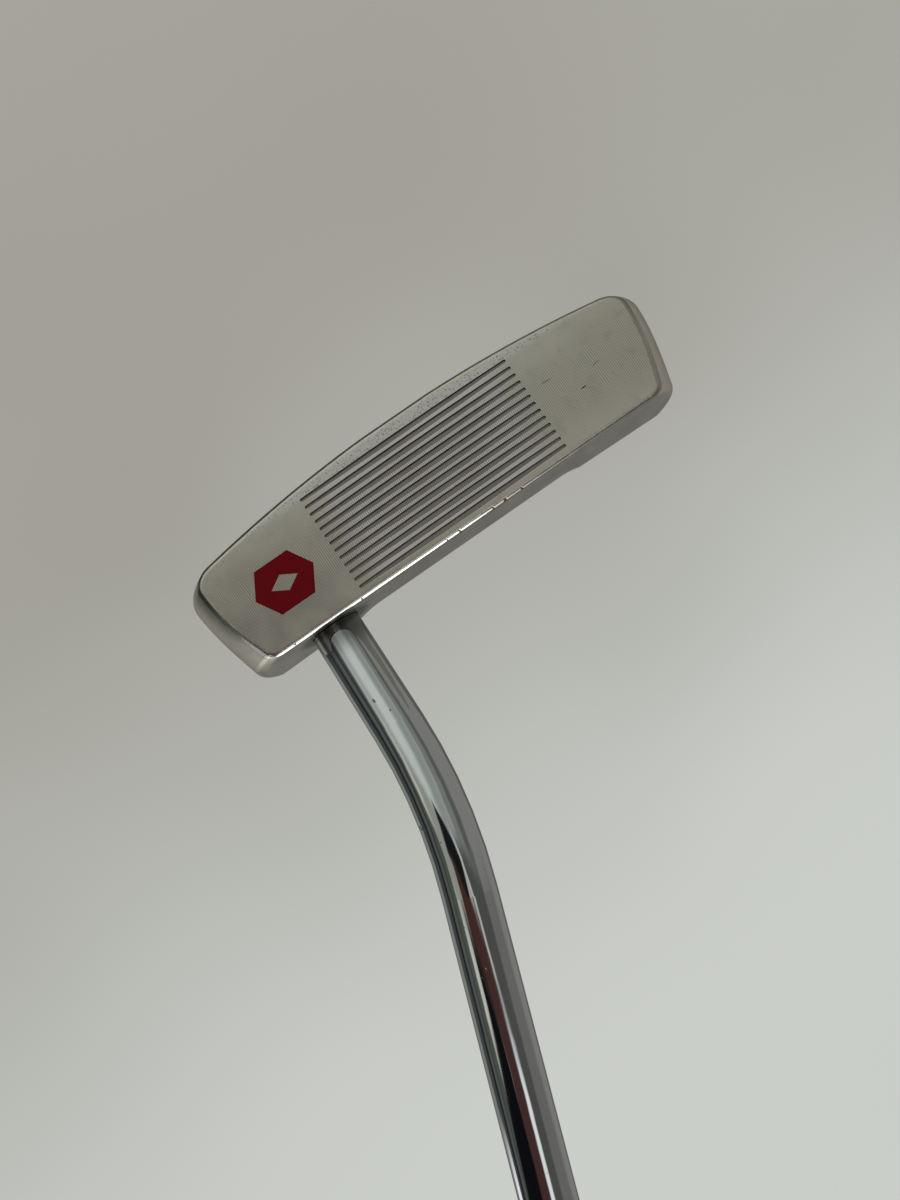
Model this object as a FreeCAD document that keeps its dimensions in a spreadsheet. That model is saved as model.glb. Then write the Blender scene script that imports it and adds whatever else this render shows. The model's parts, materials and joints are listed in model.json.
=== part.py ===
import FreeCAD, Part
import math
import os
import Sketcher
from FreeCAD import Placement, Rotation, Vector

# A right-handed blade putter standing at address. +X runs from toe to heel, the face looks
# along -Y, +Z is up, and the origin is the middle of the small flat on the sole.

DIMENSIONS = {
    # Head: height over the sole, loft of the face, and where the top edge of the face lies.
    # The cuts that trim it are wider and deeper than the blank and run out past it.
    "head_height": 23.5,
    "face_loft": 3.0,
    "face_top_y": -11.0,
    "face_edge_radius": 0.9,
    "sole_radius": 247.0,
    "sole_flat_half": 7.0,
    "top_corner_radius": 2.2,
    "sole_corner_radius": 3.0,
    "blank_front": -16.0,
    "cut_half_width": 57.3,
    "cut_depth": 140.0,
    "cut_overrun": 10.0,
    # Plan outline of the head at four levels: the centre and radius of its rounded ends.
    "level_a": -1.0,
    "level_b": 7.5,
    "level_c": 15.5,
    "level_d": 24.5,
    "end_x_a": 32.2,
    "end_x_b": 32.6,
    "end_x_c": 30.0,
    "end_x_d": 26.9,
    "end_y_a": 0.0,
    "end_y_b": 0.0,
    "end_y_c": 1.2,
    "end_y_d": 3.2,
    "end_radius_a": 16.6,
    "end_radius_b": 16.8,
    "end_radius_c": 18.3,
    "end_radius_d": 19.4,
    # Back of the head: deck, cavity, flange and the rolled heel and toe bumpers.
    "deck_back_y": 2.4,
    "deck_half_width": 20.0,
    "deck_curve_radius": 5.0,
    "deck_curve_angle": 82.0,
    "cavity_back_y": 24.0,
    "cavity_corner_radius": 1.5,
    "flange_height": 7.5,
    "bumper_edge_x": 28.0,
    "bumper_edge_y": 6.3,
    "bumper_sweep": 7.0,
    "bumper_run": 11.6,
    "bumper_roll_radius": 21.0,
    "bumper_cut_start": 22.0,
    "bumper_cut_length": 30.0,
    "back_edge_radius": 1.0,
    # Face milling.
    "groove_length": 43.35,
    "groove_width_middle": 1.0,
    "groove_width_end": 0.56,
    "groove_depth": 0.45,
    "groove_pitch": 1.519,
    "groove_count": 13,
    "groove_field_centre": 11.12,
    # Paint-filled mark at the heel of the face and the aiming line on the flange.
    "mark_x": 31.8,
    "mark_below_top": 10.1,
    "mark_width": 12.0,
    "mark_height": 8.9,
    "mark_shoulder": 2.6,
    "island_width": 5.4,
    "island_height": 3.2,
    "mark_depth": 0.4,
    "paint_below_surface": 0.08,
    "line_start": 5.0,
    "line_length": 9.0,
    "line_width": 1.4,
    "line_depth": 0.5,
    # Shaft: a short leaning leg out of the head, one bend, then a straight stepped tube.
    "lie_angle": 70.0,
    "socket_x": 29.66,
    "socket_y": -3.0,
    "leg_lean": 15.0,
    "leg_tilt": 0.3,
    "leg_length": 22.5,
    "bend_radius": 68.2,
    "tip_radius": 4.7,
    "tip_bore_radius": 3.9,
    "butt_radius": 7.35,
    "butt_wall": 0.6,
    "step_count": 9,
    "step_first": 262.0,
    "step_length": 25.0,
    "step_slope": 1.5,
    "upper_length": 780.3,
    "socket_depth": 18.0,
    "socket_gap": 0.15,
    "socket_floor_gap": 0.5,
    "bond_below_deck": 0.4,
    "plug_length": 10.0,
    # Grip: round at its mouth, with a flat along its upper side for the thumbs.
    "grip_length": 266.0,
    "tape_thickness": 0.3,
    "mouth_radius": 9.4,
    "mouth_flat": 8.9,
    "waist_radius": 10.6,
    "waist_flat": 9.6,
    "waist_at": 90.0,
    "palm_radius": 12.4,
    "palm_flat": 10.6,
    "palm_at": 200.0,
    "butt_grip_radius": 13.2,
    "butt_grip_flat": 11.2,
    "mouth_round": 0.8,
    "thumb_edge_radius": 2.5,
    "cap_height": 5.0,
    "cap_round": 2.2,
    "vent_radius": 1.75,
}

doc = FreeCAD.newDocument("blade_putter")
sheet = doc.addObject("Spreadsheet::Sheet", "sheet")
for row, (alias, number) in enumerate(DIMENSIONS.items(), start=1):
    sheet.set("A%d" % row, alias)
    sheet.set("B%d" % row, str(number))
    sheet.setAlias("B%d" % row, alias)
doc.recompute()


class Size:
    """A length or angle that keeps its value and the sheet expression behind it together."""

    def __init__(self, value, text):
        self.value = value
        self.text = text

    def join(self, other, sign, result):
        return Size(result, "(%s %s %s)" % (self.text, sign, as_size(other).text))

    def __add__(self, other):
        return self.join(other, "+", self.value + as_size(other).value)

    def __sub__(self, other):
        return self.join(other, "-", self.value - as_size(other).value)

    def __mul__(self, other):
        return self.join(other, "*", self.value * as_size(other).value)

    def __truediv__(self, other):
        return self.join(other, "/", self.value / as_size(other).value)

    def __neg__(self):
        return Size(-self.value, "(0 - %s)" % self.text)


def as_size(thing):
    return thing if isinstance(thing, Size) else Size(float(thing), repr(float(thing)))


def cell(alias):
    return Size(float(sheet.get(alias)), "sheet." + alias)


def sine(angle):
    return Size(math.sin(math.radians(angle.value)), "sin(%s * 1 deg)" % angle.text)


def cosine(angle):
    return Size(math.cos(math.radians(angle.value)), "cos(%s * 1 deg)" % angle.text)


def root(size):
    return Size(math.sqrt(size.value), "sqrt(%s)" % size.text)


# ---------------------------------------------------------------- sketches and features

def new_body(label, placement=None):
    body = doc.addObject("PartDesign::Body", label)
    body.Label = label
    if placement is not None:
        body.Placement = placement
    return body


def origin_plane(body, role):
    return [part for part in body.Origin.OriginFeatures if part.Role == role][0]


def new_sketch(body, name, role, offset=None):
    sketch = body.newObject("Sketcher::SketchObject", name)
    sketch.AttachmentSupport = [(origin_plane(body, role), "")]
    sketch.MapMode = "FlatFace"
    if offset is not None:
        sketch.AttachmentOffset = offset
    return sketch


def level_sketch(body, name, level):
    """Sketch across the body's Z axis at a height from the sheet."""
    sketch = new_sketch(body, name, "XY_Plane")
    sketch.AttachmentOffset = Placement(Vector(0, 0, level.value), Rotation())
    sketch.setExpression("AttachmentOffset.Base.z", level.text)
    return sketch


def at(x, y):
    return (as_size(x), as_size(y))


def vector(point):
    return Vector(point[0].value, point[1].value, 0)


def drive(sketch, kind, edge, end, coordinate):
    """Hold one coordinate of a vertex at a size from the sheet."""
    index = sketch.addConstraint(
        Sketcher.Constraint(kind, -1, 1, edge, end, coordinate.value))
    sketch.setExpression("Constraints[%d]" % index, coordinate.text)


def pin(sketch, edge, end, point):
    drive(sketch, "DistanceX", edge, end, point[0])
    drive(sketch, "DistanceY", edge, end, point[1])


def outline(sketch, points, arcs=None):
    """Closed outline through the points. An arc is given by the edge it replaces and its
    radius: positive if it bows out to the left of the edge, negative if to the right."""
    arcs = arcs or {}
    first = len(sketch.Geometry)
    count = len(points)
    ends = []
    for index in range(count):
        start = vector(points[index])
        end = vector(points[(index + 1) % count])
        if index in arcs:
            sketch.addGeometry(bowed(start, end, arcs[index].value))
        else:
            sketch.addGeometry(Part.LineSegment(start, end))
        clockwise = index in arcs and arcs[index].value > 0
        ends.append((2, 1) if clockwise else (1, 2))
    for index in range(count):
        after = (index + 1) % count
        sketch.addConstraint(Sketcher.Constraint(
            "Coincident", first + index, ends[index][1], first + after, ends[after][0]))
        pin(sketch, first + index, ends[index][0], points[index])
    for index, radius in arcs.items():
        hold_arc(sketch, first + index, points[index], points[(index + 1) % count], radius)


def bowed(start, end, radius):
    """Arc of at most half a turn between two points, drawn counter-clockwise."""
    chord = end - start
    left = Vector(-chord.y, chord.x, 0).normalize()
    depth = math.sqrt(max(radius * radius - chord.Length ** 2 / 4, 0.0))
    middle = (start + end) * 0.5 + left * math.copysign(abs(radius) - depth, radius)
    if radius > 0:
        return Part.Arc(end, middle, start)
    return Part.Arc(start, middle, end)


def hold_arc(sketch, edge, start, end, radius):
    """Drive an arc's radius, or, on a half circle, the place of its centre."""
    chord = vector(end) - vector(start)
    size = -radius if radius.value < 0 else radius
    if abs(chord.Length / 2 - size.value) > 1e-6:
        held = sketch.addConstraint(Sketcher.Constraint("Radius", edge, size.value))
        sketch.setExpression("Constraints[%d]" % held, size.text)
    elif abs(chord.x) < 1e-9:
        drive(sketch, "DistanceX", edge, 3, start[0])
    else:
        drive(sketch, "DistanceY", edge, 3, start[1])


def circle(sketch, centre, radius):
    index = sketch.addGeometry(Part.Circle(vector(centre), Vector(0, 0, 1), radius.value))
    pin(sketch, index, 3, centre)
    held = sketch.addConstraint(Sketcher.Constraint("Radius", index, radius.value))
    sketch.setExpression("Constraints[%d]" % held, radius.text)


def feature(body, kind, name, profile, **settings):
    made = body.newObject("PartDesign::" + kind, name)
    made.Profile = profile
    for setting, setting_value in settings.items():
        if isinstance(setting_value, Size):
            made.setExpression(setting, setting_value.text)
        else:
            setattr(made, setting, setting_value)
    doc.recompute()
    return made


def turn_solid(body, name, profile):
    """Turn a half section round the body's Z axis."""
    turned = body.newObject("PartDesign::Revolution", name)
    turned.Profile = profile
    turned.ReferenceAxis = (profile, ["V_Axis"])
    turned.Angle = 360
    doc.recompute()


def rounded(body, name, picked, radius):
    """Round the edges of the body's tip that `picked` accepts."""
    doc.recompute()
    tip = body.Tip
    names = ["Edge%d" % (index + 1) for index, edge in enumerate(tip.Shape.Edges) if picked(edge)]
    made = body.newObject("PartDesign::Fillet", name)
    made.Base = (tip, names)
    made.setExpression("Radius", radius.text)
    doc.recompute()


# ---------------------------------------------------------------- head

HEIGHT = cell("head_height")
FACE_TOP_Y = cell("face_top_y")
FLANGE = cell("flange_height")
OVERRUN = cell("cut_overrun")
# How closely an edge must lie on a plane, and how far clear of a feature, to be picked.
ON_PLANE = 0.01
CLEAR = 1.0


def add_blank(body):
    """The head as a loft of four plan outlines: square front, rounded ends, straight back."""
    sections = []
    front = cell("blank_front")
    for level in "abcd":
        sketch = level_sketch(body, "plan_" + level, cell("level_" + level))
        centre_x = cell("end_x_" + level)
        centre_y = cell("end_y_" + level)
        radius = cell("end_radius_" + level)
        reach = root(radius * radius - (centre_y - front) * (centre_y - front))
        front_x = centre_x + reach
        back_y = centre_y + radius
        points = [at(-front_x, front), at(front_x, front), at(centre_x, back_y),
                  at(-centre_x, back_y)]
        outline(sketch, points, {1: -radius, 3: -radius})
        sections.append(sketch)
    feature(body, "AdditiveLoft", "blank", sections[0], Sections=sections[1:])


def cut_top_and_sole(body):
    """Trim the blank to the flat deck and to the sole's long arc with its small flat."""
    wide = cell("cut_half_width")
    deck = new_sketch(body, "deck_cut", "XZ_Plane")
    outline(deck, [at(-wide, HEIGHT), at(wide, HEIGHT), at(wide, HEIGHT + OVERRUN),
                   at(-wide, HEIGHT + OVERRUN)])
    feature(body, "Pocket", "deck", deck, Midplane=True, Length=cell("cut_depth"))
    radius = cell("sole_radius")
    flat = cell("sole_flat_half")
    side_z = root(radius * radius - flat * flat) - root(radius * radius - wide * wide)
    sole = new_sketch(body, "sole_cut", "XZ_Plane")
    points = [at(-wide, -OVERRUN), at(wide, -OVERRUN), at(wide, side_z), at(flat, 0),
              at(-flat, 0), at(-wide, side_z)]
    outline(sole, points, {2: radius, 4: radius})
    feature(body, "Pocket", "sole", sole, Midplane=True, Length=cell("cut_depth"))


def cut_face(body):
    """The striking face: a plane that leans back by the loft from the head's top edge."""
    loft = cell("face_loft")
    lean = (HEIGHT + OVERRUN) * sine(loft) / cosine(loft)
    front = cell("blank_front") - OVERRUN
    sketch = new_sketch(body, "face_cut", "YZ_Plane")
    points = [at(front, -OVERRUN), at(FACE_TOP_Y - lean, -OVERRUN), at(FACE_TOP_Y, HEIGHT),
              at(FACE_TOP_Y, HEIGHT + OVERRUN), at(front, HEIGHT + OVERRUN)]
    outline(sketch, points)
    feature(body, "Pocket", "face", sketch, Midplane=True, Length=cell("cut_depth"))


def cut_bumpers(body):
    """Roll the shoulders down to the back with one swept cut per side."""
    run = cell("bumper_run")
    length = cell("bumper_cut_length")
    points = [at(0, HEIGHT), at(run, FLANGE), at(length, FLANGE), at(length, HEIGHT + OVERRUN),
              at(0, HEIGHT + OVERRUN)]
    upright = Rotation(Vector(1, 1, 1), 120)
    for name, side in (("heel", 1), ("toe", -1)):
        spin = Rotation(Vector(0, 0, 1), side * cell("bumper_sweep").value)
        corner = Vector(side * cell("bumper_edge_x").value, cell("bumper_edge_y").value, 0)
        outer = corner + spin.multVec(Vector(side * cell("bumper_cut_start").value, 0, 0))
        sketch = new_sketch(body, name + "_roll", "XY_Plane",
                            Placement(outer, spin.multiply(upright)))
        outline(sketch, points, {0: cell("bumper_roll_radius")})
        feature(body, "Pocket", name + "_bumper", sketch, Length=length, Reversed=side < 0)


def cut_cavity(body):
    """The pocket between the bumpers, open at the top and the back, down to the flange."""
    half = cell("deck_half_width")
    deck_y = cell("deck_back_y")
    radius = cell("deck_curve_radius")
    turn = cell("deck_curve_angle")
    curve_x = half + radius * sine(turn)
    curve_y = deck_y + radius - radius * cosine(turn)
    back_y = cell("cavity_back_y")
    back_x = curve_x + (back_y - curve_y) * cosine(turn) / sine(turn)
    sketch = level_sketch(body, "cavity_plan", HEIGHT + OVERRUN)
    points = [at(-half, deck_y), at(half, deck_y), at(curve_x, curve_y), at(back_x, back_y),
              at(-back_x, back_y), at(-curve_x, curve_y)]
    outline(sketch, points, {1: -radius, 5: -radius})
    feature(body, "Pocket", "cavity", sketch, Length=HEIGHT + OVERRUN - FLANGE)


def face_place():
    """Sketch place on the striking face: origin at the middle of its top edge, Y up the face."""
    lean = Rotation(Vector(1, 0, 0), -cell("face_loft").value)
    return "XZ_Plane", Placement(Vector(0, HEIGHT.value, -FACE_TOP_Y.value), lean)


def cut_grooves(body):
    """Parallel grooves, each widest at its middle and rounded at its ends."""
    half = cell("groove_length") / 2
    end = cell("groove_width_end") / 2
    middle = cell("groove_width_middle") / 2
    pitch = cell("groove_pitch")
    count = int(cell("groove_count").value)
    span = pitch * (count - 1)
    low = -cell("groove_field_centre") - span / 2
    inner = half - end
    swell = middle - end
    side_radius = (inner * inner + swell * swell) / (swell * 2)
    sketch = new_sketch(body, "groove_outline", *face_place())
    points = [at(-inner, low - end), at(inner, low - end), at(inner, low + end),
              at(-inner, low + end)]
    outline(sketch, points, {0: -side_radius, 1: -end, 2: -side_radius, 3: -end})
    groove = feature(body, "Pocket", "groove", sketch, Length=cell("groove_depth"))
    pattern = body.newObject("PartDesign::LinearPattern", "grooves")
    pattern.Originals = [groove]
    pattern.Direction = (sketch, ["V_Axis"])
    pattern.setExpression("Length", span.text)
    pattern.Occurrences = count
    body.Tip = pattern
    doc.recompute()


def draw_mark(sketch):
    """A plain six-sided tablet with a lozenge left standing in its middle."""
    x = cell("mark_x")
    y = -cell("mark_below_top")
    half = cell("mark_width") / 2
    rise = cell("mark_height") / 2
    shoulder = half - cell("mark_shoulder")
    outline(sketch, [at(x - half, y), at(x - shoulder, y - rise), at(x + shoulder, y - rise),
                     at(x + half, y), at(x + shoulder, y + rise), at(x - shoulder, y + rise)])
    inner = cell("island_width") / 2
    inner_rise = cell("island_height") / 2
    outline(sketch, [at(x - inner, y), at(x, y - inner_rise), at(x + inner, y),
                     at(x, y + inner_rise)])


def draw_sight_line(sketch):
    """A short slot with round ends that runs straight back along the flange."""
    half = cell("line_width") / 2
    start = cell("line_start")
    end = start + cell("line_length")
    outline(sketch, [at(half, start), at(half, end), at(-half, end), at(-half, start)],
            {1: -half, 3: -half})


def flange_place():
    """Sketch place on top of the flange."""
    return "XY_Plane", Placement(Vector(0, 0, FLANGE.value), Rotation())


def socket_frame():
    """Frame of the shaft socket: origin on the deck, Z up along the leaning leg."""
    tilt = math.tan(math.radians(cell("leg_tilt").value))
    lean = math.tan(math.radians(cell("leg_lean").value))
    axis = Vector(tilt, -lean, 1).normalize()
    centre = Vector(cell("socket_x").value, cell("socket_y").value, HEIGHT.value)
    return Placement(centre, Rotation(Vector(0, 0, 1), axis))


def make_head():
    body = new_body("head_body")
    add_blank(body)
    cut_top_and_sole(body)
    cut_face(body)
    cut_bumpers(body)
    cut_cavity(body)
    rounded(body, "end_rims", on_end_rim, cell("top_corner_radius"))
    rounded(body, "sole_sides", on_sole_side, cell("sole_corner_radius"))
    rounded(body, "cavity_floor", on_cavity_floor, cell("cavity_corner_radius"))
    rounded(body, "back_rim", on_flange_tail, cell("back_edge_radius"))
    rounded(body, "face_edge", on_face, cell("face_edge_radius"))
    cut_grooves(body)
    mark = new_sketch(body, "mark_outline", *face_place())
    draw_mark(mark)
    feature(body, "Pocket", "mark", mark, Length=cell("mark_depth"))
    line = new_sketch(body, "sight_line_outline", *flange_place())
    draw_sight_line(line)
    feature(body, "Pocket", "sight_line", line, Length=cell("line_depth"))
    socket = new_sketch(body, "socket_circle", "XY_Plane", socket_frame())
    circle(socket, at(0, 0), cell("tip_radius") + cell("socket_gap"))
    feature(body, "Pocket", "socket", socket, SideType="Two sides",
            Length=cell("socket_depth"), Length2=cell("leg_length"))
    return body


def middle_of(edge):
    return edge.valueAt(edge.getParameterByLength(edge.Length / 2))


def on_face(edge):
    """Edges in the plane of the striking face."""
    loft = math.radians(cell("face_loft").value)
    normal = Vector(0, -math.cos(loft), math.sin(loft))
    corner = Vector(0, FACE_TOP_Y.value, HEIGHT.value)
    lengths = [edge.Length * quarter / 4 for quarter in range(5)]
    points = [edge.valueAt(edge.getParameterByLength(length)) for length in lengths]
    return all(abs((point - corner).dot(normal)) < ON_PLANE for point in points)


def on_end_rim(edge):
    """Curved upper edges round the heel and toe ends and down the back of the bumpers."""
    middle = middle_of(edge)
    curved = edge.Curve.TypeId != "Part::GeomLine"
    outside = abs(middle.x) > cell("bumper_edge_x").value - CLEAR
    behind_face = middle.y > FACE_TOP_Y.value + CLEAR
    return curved and outside and behind_face and middle.z > FLANGE.value + CLEAR


def on_sole_side(edge):
    """Edges where the sole meets the rounded ends and the back."""
    low = edge.BoundBox.ZMax < FLANGE.value - CLEAR / 2
    runs_across = edge.BoundBox.XLength > 5 * CLEAR
    return low and runs_across and not on_face(edge)


def on_flange(edge):
    heights = (edge.BoundBox.ZMin, edge.BoundBox.ZMax)
    return all(abs(height - FLANGE.value) < ON_PLANE for height in heights)


def on_cavity_floor(edge):
    """Edges where the cavity's walls meet the flange."""
    return on_flange(edge) and edge.BoundBox.YMin < cell("end_radius_b").value - CLEAR


def on_flange_tail(edge):
    """The back edge of the flange; the rounding runs on from it up both bumpers."""
    return on_flange(edge) and not on_cavity_floor(edge)


# ---------------------------------------------------------------- paint in the recesses

def make_paint(label, place, draw, depth):
    """Enamel that fills a recess from its floor to just below the surface."""
    body = new_body(label)
    role, frame = place
    frame.Base = frame.Base - frame.Rotation.multVec(Vector(0, 0, depth.value))
    sketch = new_sketch(body, label + "_outline", role, frame)
    draw(sketch)
    feature(body, "Pad", label + "_pad", sketch, Length=depth - cell("paint_below_surface"))
    return body


# ---------------------------------------------------------------- shaft

def shaft_axes():
    """Directions of the short leg and of the long upper tube, and the frame where the bend
    ends: Z up the tube, X in the plane of the bend on the side that the leg turns to."""
    socket = socket_frame()
    leg = socket.Rotation.multVec(Vector(0, 0, 1))
    lie = math.radians(cell("lie_angle").value)
    tube = Vector(math.cos(lie), 0, math.sin(lie))
    turn = leg.getAngle(tube)
    radius = cell("bend_radius").value
    toward = (tube - leg * math.cos(turn)) * (1 / math.sin(turn))
    start = socket.Base + leg * cell("leg_length").value
    end = start + leg * (radius * math.sin(turn)) + toward * (radius * (1 - math.cos(turn)))
    sideways = tube * math.cos(turn) - leg
    sideways.normalize()
    across = tube.cross(sideways)
    return turn, Placement(end, Rotation(sideways, across, tube, "ZXY"))


def butt_frame():
    """Frame at the mouth of the grip: Z up the tube, X square to the flat for the thumbs."""
    bend = shaft_axes()[1]
    tube = bend.Rotation.multVec(Vector(0, 0, 1))
    thumbs = Vector(0, 1, 0).cross(tube) * -1
    across = tube.cross(thumbs)
    start = bend.Base + tube * (cell("upper_length") - cell("grip_length")).value
    return Placement(start, Rotation(thumbs, across, tube, "ZXY"))


def bend_point(angle):
    """Point of the bend's line that lies this angle below the upper tube, in the tube's frame."""
    radius = cell("bend_radius").value
    return Vector(radius * (1 - math.cos(angle)), -radius * math.sin(angle), 0)


def make_shaft():
    """One steel tube: leg and bend swept along their line, then the stepped tube turned."""
    turn, frame = shaft_axes()
    body = new_body("shaft", frame)
    leg = cell("leg_length") + cell("socket_depth") - cell("socket_floor_gap")
    down = Vector(math.sin(turn), -math.cos(turn), 0)
    leg_top = bend_point(turn)
    path = new_sketch(body, "leg_line", "XZ_Plane")
    path.addGeometry(Part.Arc(bend_point(0), bend_point(turn / 2), leg_top))
    path.addGeometry(Part.LineSegment(leg_top, leg_top + down * leg.value))
    ring = new_sketch(body, "tube_ring", "XY_Plane")
    circle(ring, at(0, 0), cell("tip_radius"))
    circle(ring, at(0, 0), cell("tip_bore_radius"))
    feature(body, "AdditivePipe", "bent_leg", ring, Spine=(path, []))
    profile = new_sketch(body, "tube_profile", "XZ_Plane")
    outline(profile, tube_profile())
    turn_solid(body, "upper_tube", profile)
    return body


def tube_profile():
    """Half section of the upper tube: parallel tip, even steps, parallel butt."""
    tip = cell("tip_radius")
    inner = cell("tip_bore_radius")
    butt = cell("butt_radius")
    count = int(cell("step_count").value)
    first = cell("step_first")
    spacing = cell("step_length")
    slope = cell("step_slope")
    top = cell("upper_length")
    growth = (butt - tip) / count
    inner_growth = (butt - cell("butt_wall") - inner) / count
    outside = [at(tip, 0)]
    inside = [at(inner, 0)]
    for step in range(count):
        level = first + spacing * step
        outside.append(at(tip + growth * step, level))
        outside.append(at(tip + growth * (step + 1), level + slope))
        inside.append(at(inner + inner_growth * step, level))
        inside.append(at(inner + inner_growth * (step + 1), level + slope))
    return outside + [at(butt, top), at(butt - cell("butt_wall"), top)] + inside[::-1]


def make_bond():
    """Adhesive round the shaft's leg and under its end, up to just below the deck."""
    body = new_body("socket_bond", socket_frame())
    outer = cell("tip_radius") + cell("socket_gap")
    inner = cell("tip_radius")
    bottom = -cell("socket_depth")
    sketch = new_sketch(body, "bond_section", "XZ_Plane")
    outline(sketch, [at(0, bottom), at(outer, bottom), at(outer, -cell("bond_below_deck")),
                     at(inner, -cell("bond_below_deck")),
                     at(inner, bottom + cell("socket_floor_gap")),
                     at(0, bottom + cell("socket_floor_gap"))])
    turn_solid(body, "bond_turned", sketch)
    return body


def make_plug():
    """Short stopper pressed into the end of the tube."""
    body = new_body("tip_plug", socket_frame())
    sketch = level_sketch(body, "plug_circle", cell("socket_floor_gap") - cell("socket_depth"))
    circle(sketch, at(0, 0), cell("tip_bore_radius"))
    feature(body, "Pad", "plug", sketch, Length=cell("plug_length"))
    return body


# ---------------------------------------------------------------- grip

GRIP_BORE = cell("butt_radius") + cell("tape_thickness")
GRIP_LEVELS = (
    ("mouth_radius", "mouth_flat", as_size(0)),
    ("waist_radius", "waist_flat", cell("waist_at")),
    ("palm_radius", "palm_flat", cell("palm_at")),
    ("butt_grip_radius", "butt_grip_flat", cell("grip_length")),
)


def draw_grip_section(sketch, radius, flat):
    """A round outline cut by a flat on the thumbs' side."""
    reach = root(radius * radius - flat * flat)
    corner = math.atan2(reach.value, flat.value)
    round_side = Part.Circle(Vector(0, 0, 0), Vector(0, 0, 1), radius.value)
    index = sketch.addGeometry(Part.ArcOfCircle(round_side, corner, 2 * math.pi - corner))
    line = sketch.addGeometry(Part.LineSegment(vector(at(flat, -reach)), vector(at(flat, reach))))
    sketch.addConstraint(Sketcher.Constraint("Coincident", index, 2, line, 1))
    sketch.addConstraint(Sketcher.Constraint("Coincident", line, 2, index, 1))
    sketch.addConstraint(Sketcher.Constraint("Coincident", index, 3, -1, 1))
    pin(sketch, line, 2, (flat, reach))
    drive(sketch, "DistanceX", line, 1, flat)


def make_grip():
    """Moulded rubber handle: a loft of four sections, bored for the taped shaft."""
    body = new_body("grip_sleeve", butt_frame())
    sections = []
    for radius, flat, level in GRIP_LEVELS:
        sketch = level_sketch(body, "section_" + radius, level)
        draw_grip_section(sketch, cell(radius), cell(flat))
        sections.append(sketch)
    feature(body, "AdditiveLoft", "handle", sections[0], Sections=sections[1:])
    bore = level_sketch(body, "bore_circle", cell("grip_length"))
    circle(bore, at(0, 0), GRIP_BORE)
    feature(body, "Pocket", "bore", bore, Length=cell("grip_length"))
    rounded(body, "thumb_edges", on_long_edge, cell("thumb_edge_radius"))
    rounded(body, "mouth_lip", on_mouth_edge, cell("mouth_round"))
    return body


def on_long_edge(edge):
    """The two edges that run the length of the thumbs' flat."""
    full_length = edge.BoundBox.ZLength > cell("grip_length").value - CLEAR
    return full_length and abs(middle_of(edge).y) > CLEAR


def on_mouth_edge(edge):
    """The outer edge of the grip's mouth."""
    middle = middle_of(edge)
    wall_middle = (GRIP_BORE.value + cell("mouth_flat").value) / 2
    return edge.BoundBox.ZMax < ON_PLANE and math.hypot(middle.x, middle.y) > wall_middle


def make_tape():
    """Double-sided tape wound on the shaft under the grip."""
    body = new_body("grip_tape", butt_frame())
    ring = new_sketch(body, "tape_ring", "XY_Plane")
    circle(ring, at(0, 0), GRIP_BORE)
    circle(ring, at(0, 0), cell("butt_radius"))
    feature(body, "Pad", "tape", ring, Length=cell("grip_length"))
    return body


def make_cap():
    """End cap on the grip, domed at its edge, with a vent hole into the shaft."""
    body = new_body("grip_cap", butt_frame())
    top = cell("grip_length") + cell("cap_height")
    base = level_sketch(body, "cap_outline", cell("grip_length"))
    draw_grip_section(base, cell("butt_grip_radius"), cell("butt_grip_flat"))
    feature(body, "Pad", "cap", base, Length=cell("cap_height"))
    rounded(body, "cap_round_edge", lambda edge: edge.BoundBox.ZMin > top.value - ON_PLANE,
            cell("cap_round"))
    vent = level_sketch(body, "vent_circle", top)
    circle(vent, at(0, 0), cell("vent_radius"))
    feature(body, "Pocket", "vent", vent, Length=cell("cap_height"))
    return body


# ---------------------------------------------------------------- build, check, write

BODIES = [
    make_head(),
    make_paint("face_mark_paint", face_place(), draw_mark, cell("mark_depth")),
    make_paint("sight_line_paint", flange_place(), draw_sight_line, cell("line_depth")),
    make_shaft(),
    make_bond(),
    make_plug(),
    make_tape(),
    make_grip(),
    make_cap(),
]

doc.recompute()
for thing in doc.Objects:
    if "Invalid" in thing.State or "Error" in thing.State:
        raise RuntimeError("%s failed: %s" % (thing.Name, thing.State))
for body in BODIES:
    if body.Shape.isNull() or not body.Shape.isValid() or len(body.Shape.Solids) < 1:
        raise RuntimeError(body.Label + " has no valid solid")

os.makedirs("parts", exist_ok=True)
for body in BODIES:
    body.Shape.exportStep("parts/" + body.Label + ".step")
    print("%s: %.0f mm3" % (body.Label, body.Shape.Volume))
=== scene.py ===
import json
import math

import bpy
import numpy as np
from mathutils import Matrix, Vector
from mathutils.bvhtree import BVHTree


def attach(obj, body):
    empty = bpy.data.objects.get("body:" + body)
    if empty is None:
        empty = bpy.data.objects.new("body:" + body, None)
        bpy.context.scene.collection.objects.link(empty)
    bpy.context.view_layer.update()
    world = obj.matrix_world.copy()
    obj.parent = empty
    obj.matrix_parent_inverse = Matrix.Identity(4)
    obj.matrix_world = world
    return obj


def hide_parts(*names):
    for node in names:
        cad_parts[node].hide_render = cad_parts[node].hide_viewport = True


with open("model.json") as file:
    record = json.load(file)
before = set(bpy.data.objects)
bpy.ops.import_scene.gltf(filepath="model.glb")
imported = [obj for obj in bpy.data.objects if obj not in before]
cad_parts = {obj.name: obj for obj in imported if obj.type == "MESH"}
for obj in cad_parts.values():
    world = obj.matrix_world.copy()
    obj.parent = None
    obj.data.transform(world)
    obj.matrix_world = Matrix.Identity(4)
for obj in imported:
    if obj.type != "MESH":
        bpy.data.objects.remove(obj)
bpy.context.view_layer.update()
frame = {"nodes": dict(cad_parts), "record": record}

MM = 0.001
RELIEF_UNIT = 0.01 * MM
RECORD = frame["record"]
NODES = frame["nodes"]


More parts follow.
